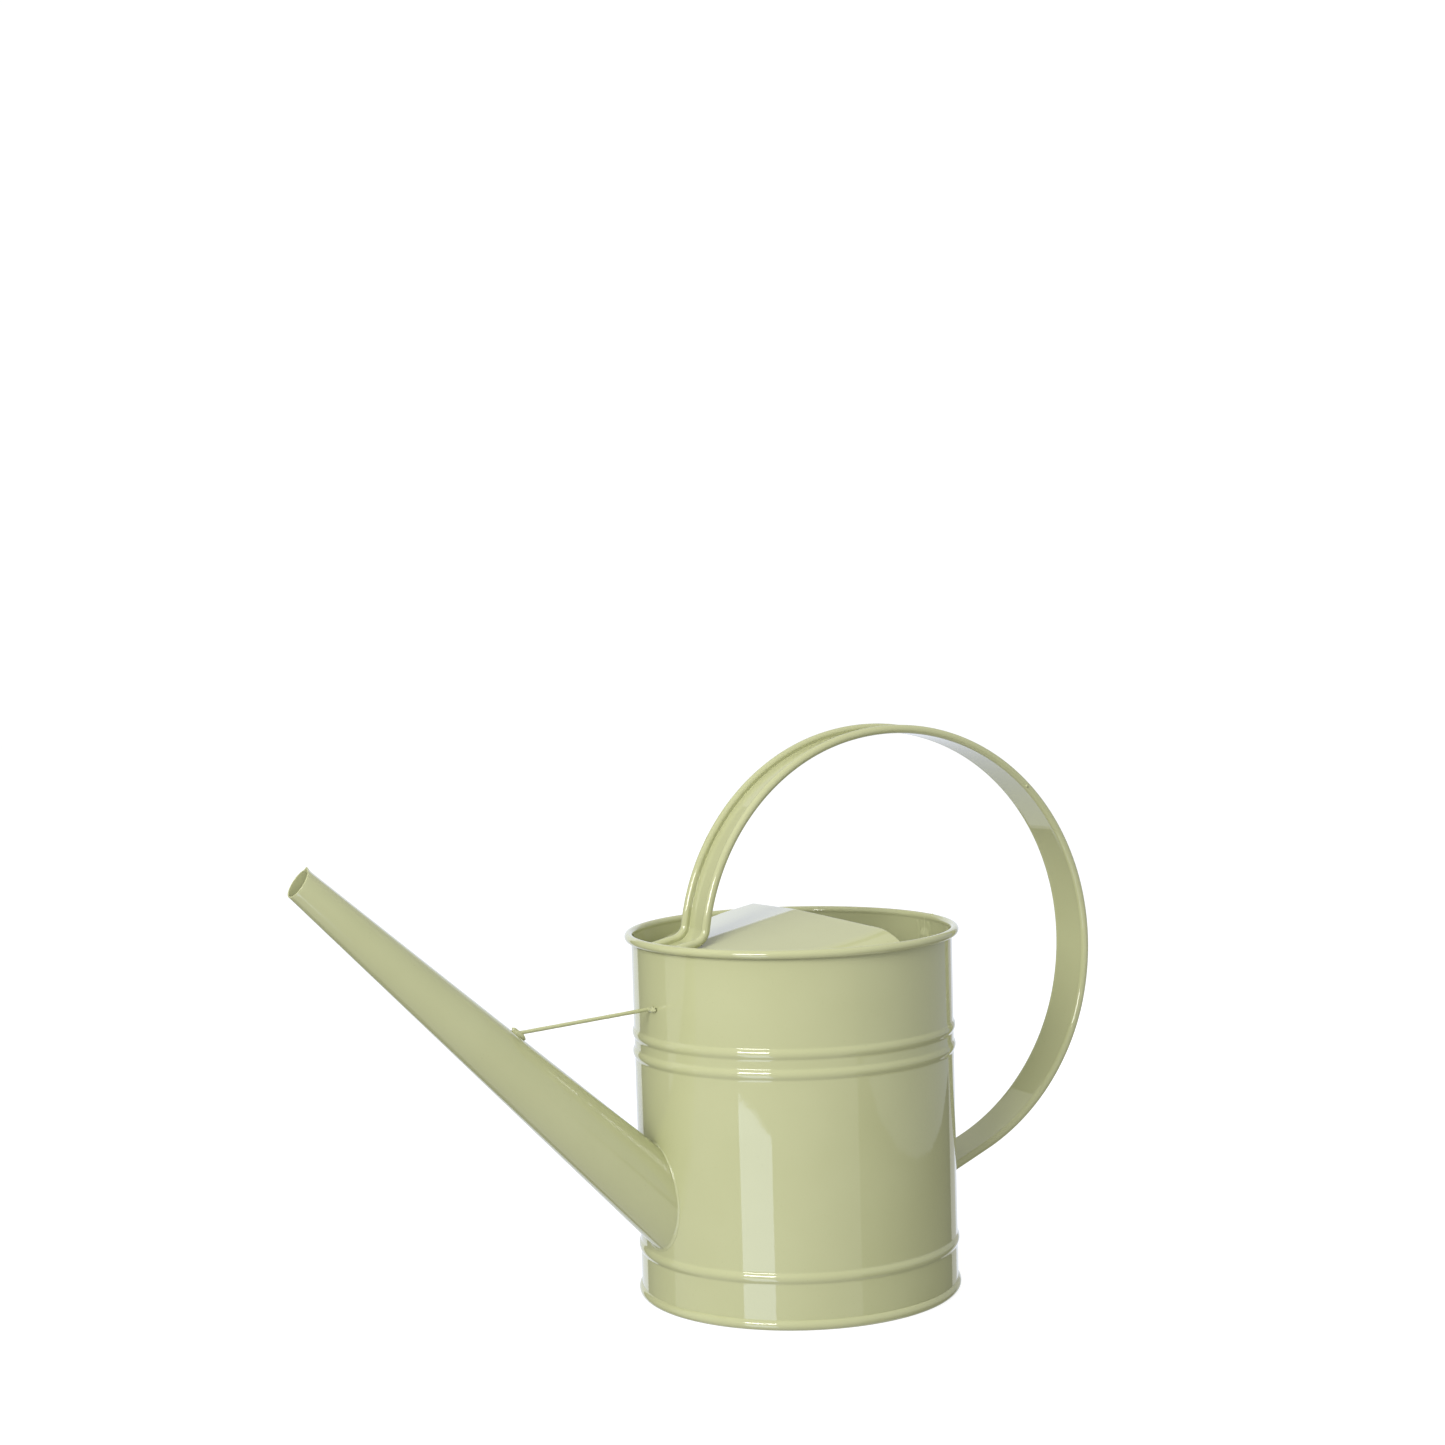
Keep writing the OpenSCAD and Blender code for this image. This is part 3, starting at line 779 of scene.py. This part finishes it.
def build_brace():
    front_z = spout_top_z(BRACE_FRONT_X) + (LAP_RISE + BRACE_R + BRACE_CLEAR) / math.cos(TOP_CLIMB)
    rear_x = wall_r(BRACE_WALL_Z) + BRACE_R
    c, s = math.cos(TOP_CLIMB), math.sin(TOP_CLIMB)
    toe = [-BRACE_FRONT_X - FRONT_TOE * c, 0, front_z + FRONT_TOE * s]
    front = [-BRACE_FRONT_X, 0, front_z]
    rear = [-rear_x, 0, BRACE_WALL_Z]
    heel = [-rear_x, -REAR_TOE, BRACE_WALL_Z]
    path = smooth_loop([toe, front, rear, heel], 0.25, 0.7, closed=False)
    rings = tube_rings(path, brace_radii(len(path)), 24)
    make_grid("brace_visual", rings, False, True, PAINT, ["brace_rod"], capped=True)

    # each drop of solder is drawn out to a point or two
    axes = [[-c, 0, s], [0, 1, 0], [s, 0, c]]
    spikes = [((1, 0.1, 0.5), 0.35, 0.06), ((-1, 0, 0.1), 0.2, 0.10)]
    v, f = drop([-BRACE_FRONT_X - 0.4, 0, front_z - 0.9], axes, [4.4, 2.3, 2.1], 3, 0.07, spikes)
    make_object("brace_front_solder_visual", v, f, PAINT_SOLDER, ["brace_front_solder"])
    axes = [[0, -1, 0], [-1, 0, 0], [0, 0, 1]]
    spikes = [((0.7, 0.2, 0.9), 0.9, 0.015), ((0.1, 0.3, 1.0), 0.75, 0.02), ((1, 0.1, 0.3), 0.25, 0.04)]
    v, f = drop([-rear_x + 0.7, -3.4, BRACE_WALL_Z], axes, [3.7, 1.5, 1.35], 8, 0.12, spikes)
    make_object("brace_rear_solder_visual", v, f, PAINT_SOLDER, ["brace_rear_solder"])


build_brace()

# ---------------------------------------------------------------- handle

RUN_STEP, BEND_STEP, FOOT_STEP = 2.0, 0.6, 1.5  # how far apart the strip's rings are


def handle_path():
    """Points of the strip's smooth face, with the direction towards its rolled edges at each."""
    # the hoop's oval: two tight arcs on its long axis and a flatter one over the top
    long_shift = HOOP_LONG_R - HOOP_TIGHT_R
    flat_radius = (long_shift**2 + HOOP_SHORT_R**2 - HOOP_TIGHT_R**2) / (2 * (HOOP_SHORT_R - HOOP_TIGHT_R))
    flat_shift = flat_radius - HOOP_SHORT_R
    join = math.degrees(math.atan2(flat_shift, long_shift))
    front_mid = HOOP_MID + long_shift * unit2(135)
    rear_mid = HOOP_MID + long_shift * unit2(-45)
    top_mid = HOOP_MID - flat_shift * unit2(45)

    # the front foot lies along the cover's ridge
    reach = HOOP_TIGHT_R + FOOT_BEND_R
    tilt = math.degrees(RIDGE_TILT)
    off_ridge = np.array([-math.sin(RIDGE_TILT), math.cos(RIDGE_TILT)])
    height = off_ridge @ np.array(RIDGE_REAR) + FOOT_CLEAR
    front_start = 180 + tilt - math.degrees(math.asin((height + FOOT_BEND_R - off_ridge @ front_mid) / reach))
    front_bend = front_mid + reach * unit2(front_start)

    # the rear foot lies down the wall, after a straight run
    wall_x = wall_r(REAR_BEND_Z) + FOOT_CLEAR
    run_start = rear_mid + HOOP_TIGHT_R * unit2(REAR_START)
    leave = 90 + REAR_START
    run_x = run_start[0] + FOOT_BEND_R * math.cos(rad(REAR_START)) - wall_x - FOOT_BEND_R
    run_len = run_x / math.cos(rad(leave))
    run_end = run_start - run_len * unit2(leave)
    rear_bend = run_start + FOOT_BEND_R * unit2(REAR_START) - run_len * unit2(leave)
    pts, nrm = [], []

    def arc(mid, radius, a0, a1, sign, step):
        n = max(3, int(abs(a1 - a0) * rad(1) * radius / step))
        for a in np.linspace(a0, a1, n)[:-1]:
            pts.append(mid + radius * unit2(a))
            nrm.append(sign * unit2(a))

    def line(p, q, off, step):
        n = max(2, int(np.linalg.norm(q - p) / step))
        for k in range(n):
            pts.append(p + (q - p) * k / n)
            nrm.append(off)

    foot_top = rear_bend - np.array([FOOT_BEND_R, 0])
    line(foot_top - np.array([0, REAR_FOOT_LEN]), foot_top, np.array([1.0, 0]), FOOT_STEP)
    arc(rear_bend, FOOT_BEND_R, 180, REAR_START + 180, -1, BEND_STEP)
    line(run_end, run_start, unit2(REAR_START), RUN_STEP)
    arc(rear_mid, HOOP_TIGHT_R, REAR_START, -45 + join, 1, RUN_STEP)
    arc(top_mid, flat_radius, -45 + join, 135 - join, 1, RUN_STEP)
    arc(front_mid, HOOP_TIGHT_R, 135 - join, front_start, 1, RUN_STEP)
    arc(front_bend, FOOT_BEND_R, front_start + 180, 270 + tilt, -1, BEND_STEP)
    foot_start = front_bend + FOOT_BEND_R * unit2(270 + tilt)
    foot_end = foot_start - FRONT_FOOT_LEN * unit2(tilt)
    line(foot_start, foot_end, off_ridge, FOOT_STEP)
    pts.append(foot_end)
    nrm.append(off_ridge)
    return np.array(pts), np.array(nrm)


WEB_HALF_FACE = WIRE_PLACE - 0.9  # where the smooth face turns into the edges' beads
WEB_HALF_BACK = WIRE_PLACE - 2.0  # where the beads come down on the web's other face


def strip_outline():
    """The strip's section: x away from the smooth face, y along its width."""
    left = round_points((EDGE_R, WIRE_PLACE), EDGE_R, range(195, -88, -7))
    right = round_points((EDGE_R, -WIRE_PLACE), EDGE_R, range(88, -195, -7))
    return [[WEB_IN, -WEB_HALF_FACE], [WEB_IN, WEB_HALF_FACE], *left,
            [WEB_IN + SHEET, WEB_HALF_BACK], [WEB_IN + SHEET, -WEB_HALF_BACK], *right]


def build_handle():
    pts, nrm = handle_path()
    outline = thin_out(smooth_loop(strip_outline(), 0.08, 0.16), 0.006, 0.2)
    # soften the change of curve where a bend meets a run
    for _ in range(6):
        nrm[1:-1] = (nrm[:-2] + 2 * nrm[1:-1] + nrm[2:]) / 4
    nrm = unit_rows(nrm)
    rings = []
    for p, n in zip(pts, nrm):
        q = p[None, :] + outline[:, :1] * n[None, :]
        rings.append(np.column_stack([q[:, 0], outline[:, 1], q[:, 1]]))
    make_grid("handle_visual", np.array(rings), False, True, PAINT_HANDLE,
              ["handle_strip", "handle_wire_left", "handle_wire_right"], capped=True)


def paint_handle_solder():
    """The solder under the feet keeps its CAD shape and takes the paint."""
    for node in ("handle_front_solder", "handle_rear_solder"):
        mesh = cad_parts[node].data
        mesh.materials.clear()
        mesh.materials.append(PAINT_SOLDER)


build_handle()
paint_handle_solder()

# ---------------------------------------------------------------- drips of paint

HANDLE_DRIP = [152.0, -WIRE_PLACE - EDGE_R + 0.4, 272.7]
RIM_DRIP = [RIM_R - 0.8, -6.0, RIM_Z + RIM_BEAD_R - 0.35]


def build_drips():
    v, f = drop(HANDLE_DRIP, np.eye(3), [1.2, 0.9, 1.0], 5, 0.15)
    make_object("handle_drip", v, f, PAINT_DRIP)
    v, f = drop(RIM_DRIP, np.eye(3), [0.9, 1.1, 0.7], 6, 0.2)
    make_object("rim_drip", v, f, PAINT_DRIP)


build_drips()

# ---------------------------------------------------------------- floor, light and camera

FLOOR_HALF = 6.0


def build_stage():
    """A pale floor that fades into the white behind it."""
    h = FLOOR_HALF
    mesh = bpy.data.meshes.new("floor")
    mesh.from_pydata([(-h, -h, 0), (h, -h, 0), (h, h, 0), (-h, h, 0)], [], [(0, 1, 2, 3)])
    floor = bpy.data.objects.new("floor", mesh)
    bpy.context.scene.collection.objects.link(floor)
    m, nt, bsdf = node_material("pale_floor")
    n = noise(nt, 3.0, 2.0)
    tone = ramp(nt, n.outputs["Fac"], [(0.3, (0.34, 0.34, 0.34)), (0.7, (0.35, 0.35, 0.35))])
    nt.links.new(tone.outputs["Color"], bsdf.inputs["Base Color"])
    bsdf.inputs["Emission Color"].default_value = (1, 1, 1, 1)
    bsdf.inputs["Emission Strength"].default_value = 0.82
    bsdf.inputs["Roughness"].default_value = 0.9
    bsdf.inputs["Specular IOR Level"].default_value = 0.1
    mesh.materials.append(m)
    floor.visible_glossy = False
    floor.visible_diffuse = False


AIM = np.array([0.0, 0.0, 0.1])


def polar(azimuth, elevation, distance):
    a, e = rad(azimuth), rad(elevation)
    back = np.array([math.sin(a) * math.cos(e), -math.cos(a) * math.cos(e), math.sin(e)])
    return AIM + back * distance


def area(name, azimuth, elevation, distance, size, power):
    """A square lamp that points at the can and doesn't show in reflections."""
    data = bpy.data.lights.new(name, "AREA")
    data.shape = "RECTANGLE"
    data.size, data.size_y = size, size
    data.energy = power
    obj = bpy.data.objects.new(name, data)
    bpy.context.scene.collection.objects.link(obj)
    where = polar(azimuth, elevation, distance)
    obj.location = where
    obj.rotation_euler = Vector(AIM - where).to_track_quat("-Z", "Y").to_euler()
    obj.visible_glossy = False
    obj.visible_camera = False


WHITE = (1, 1, 1)
CARD_DISTANCE = 2.0


def card(name, azimuth, width_deg, low, high, strength, colour=WHITE, distance=CARD_DISTANCE, camera=False):
    """A tall glowing card that shows only in reflections, or, for the backdrop, only to the camera.

    low and high are heights, or lists of heights for a card whose edge slants or curves."""
    a0, a1 = azimuth - width_deg / 2, azimuth + width_deg / 2
    lows, highs = np.atleast_1d(low), np.atleast_1d(high)
    n = max(12, int(width_deg / 4))
    verts, faces = [], []
    for k in range(n + 1):
        a = rad(a0 + (a1 - a0) * k / n)
        x, y = math.sin(a) * distance, -math.cos(a) * distance
        lo = np.interp(k / n, np.linspace(0, 1, len(lows)), lows)
        hi = np.interp(k / n, np.linspace(0, 1, len(highs)), highs)
        verts += [(x, y, lo), (x, y, hi)]
        if k:
            faces.append((2 * k - 2, 2 * k, 2 * k + 1, 2 * k - 1))
    mesh = bpy.data.meshes.new(name)
    mesh.from_pydata(verts, [], faces)
    obj = bpy.data.objects.new(name, mesh)
    bpy.context.scene.collection.objects.link(obj)
    m = bpy.data.materials.new(name)
    m.use_nodes = True
    nt = m.node_tree
    nt.nodes.clear()
    out = nt.nodes.new("ShaderNodeOutputMaterial")
    em = nt.nodes.new("ShaderNodeEmission")
    em.inputs["Strength"].default_value = strength
    em.inputs["Color"].default_value = (*colour, 1)
    nt.links.new(em.outputs[0], out.inputs[0])
    mesh.materials.append(m)
    obj.visible_camera = camera
    obj.visible_glossy = not camera
    obj.visible_diffuse = False
    obj.visible_shadow = False
    obj.visible_transmission = False


# heights of the side wall's lower edge, an arch in its reflection on the can
SIDE_WALL_FOOT = (-0.20, -0.31, -0.355, -0.37, -0.36, -0.33, -0.26)
# heights of the softbox's slanted top edge as the glossy table mirrors it
MIRRORED_TOP = (-0.278, -0.30, -0.331)
BELOW, ABOVE = -2.5, 2.5


def build_light():
    world = bpy.data.worlds.new("studio")
    bpy.context.scene.world = world
    world.use_nodes = True
    nt = world.node_tree
    nt.nodes.clear()
    out = nt.nodes.new("ShaderNodeOutputWorld")
    bg = nt.nodes.new("ShaderNodeBackground")
    bg.inputs["Color"].default_value = (1, 1, 1, 1)
    bg.inputs["Strength"].default_value = 0.60
    nt.links.new(bg.outputs[0], out.inputs[0])

    # the lamps shade the paint, and the cards are what its gloss mirrors
    area("key", -61, 29, 2.2, 1.1, 38.5)
    area("top", -20, 80, 2.0, 1.6, 9.5)
    card("backdrop", 150, 360, -3.0, 8.0, 1.02, distance=9.0, camera=True)
    card("softbox", -58.5, 23, 0.52, 1.05, 17.0)
    card("softbox_in_table", -58.5, 23, -2.2, MIRRORED_TOP, 2.7, (0.92, 1.0, 1.25))
    card("bright_wall", 156.8, 60, BELOW, 0.95, 0.98, (0.94, 0.98, 1.08))
    card("dark_corner", -151, 42, BELOW, ABOVE, 0.12)
    card("side_wall", 63, 98, SIDE_WALL_FOOT, 1.5, 0.50, (0.95, 1.0, 1.10))
    card("table_shade", 63, 98, BELOW, SIDE_WALL_FOOT, 0.10)


# where the camera stands, in degrees round the can and in metres, and how far it is turned off the can's axis
CAMERA_AZ = 29.851
CAMERA_DIST = 1.40069
CAMERA_HEIGHT = 0.39072
CAMERA_YAW = -1.435
CAMERA_PITCH = -2.992
CAMERA_ROLL = -1.582
CAMERA_LENS = 62.880  # millimetres, on a 36 mm sensor


def build_camera():
    data = bpy.data.cameras.new("camera")
    data.sensor_width = 36.0
    data.lens = CAMERA_LENS
    data.clip_start, data.clip_end = 0.05, 50
    cam = bpy.data.objects.new("camera", data)
    bpy.context.scene.collection.objects.link(cam)
    h, p = rad(CAMERA_AZ + CAMERA_YAW), rad(CAMERA_PITCH)
    fwd = np.array([math.sin(h) * math.cos(p), math.cos(h) * math.cos(p), math.sin(p)])
    right = np.array([math.cos(h), -math.sin(h), 0.0])
    up = np.cross(right, fwd)
    c, s = math.cos(rad(CAMERA_ROLL)), math.sin(rad(CAMERA_ROLL))
    right, up = c * right + s * up, -s * right + c * up
    m = Matrix.Identity(4)
    for i in range(3):
        m[i][0], m[i][1], m[i][2] = right[i], up[i], -fwd[i]
    m[0][3] = -math.sin(rad(CAMERA_AZ)) * CAMERA_DIST
    m[1][3] = -math.cos(rad(CAMERA_AZ)) * CAMERA_DIST
    m[2][3] = CAMERA_HEIGHT
    cam.matrix_world = m
    bpy.context.scene.camera = cam


build_stage()
build_light()
build_camera()
bpy.context.scene.view_settings.view_transform = "Standard"
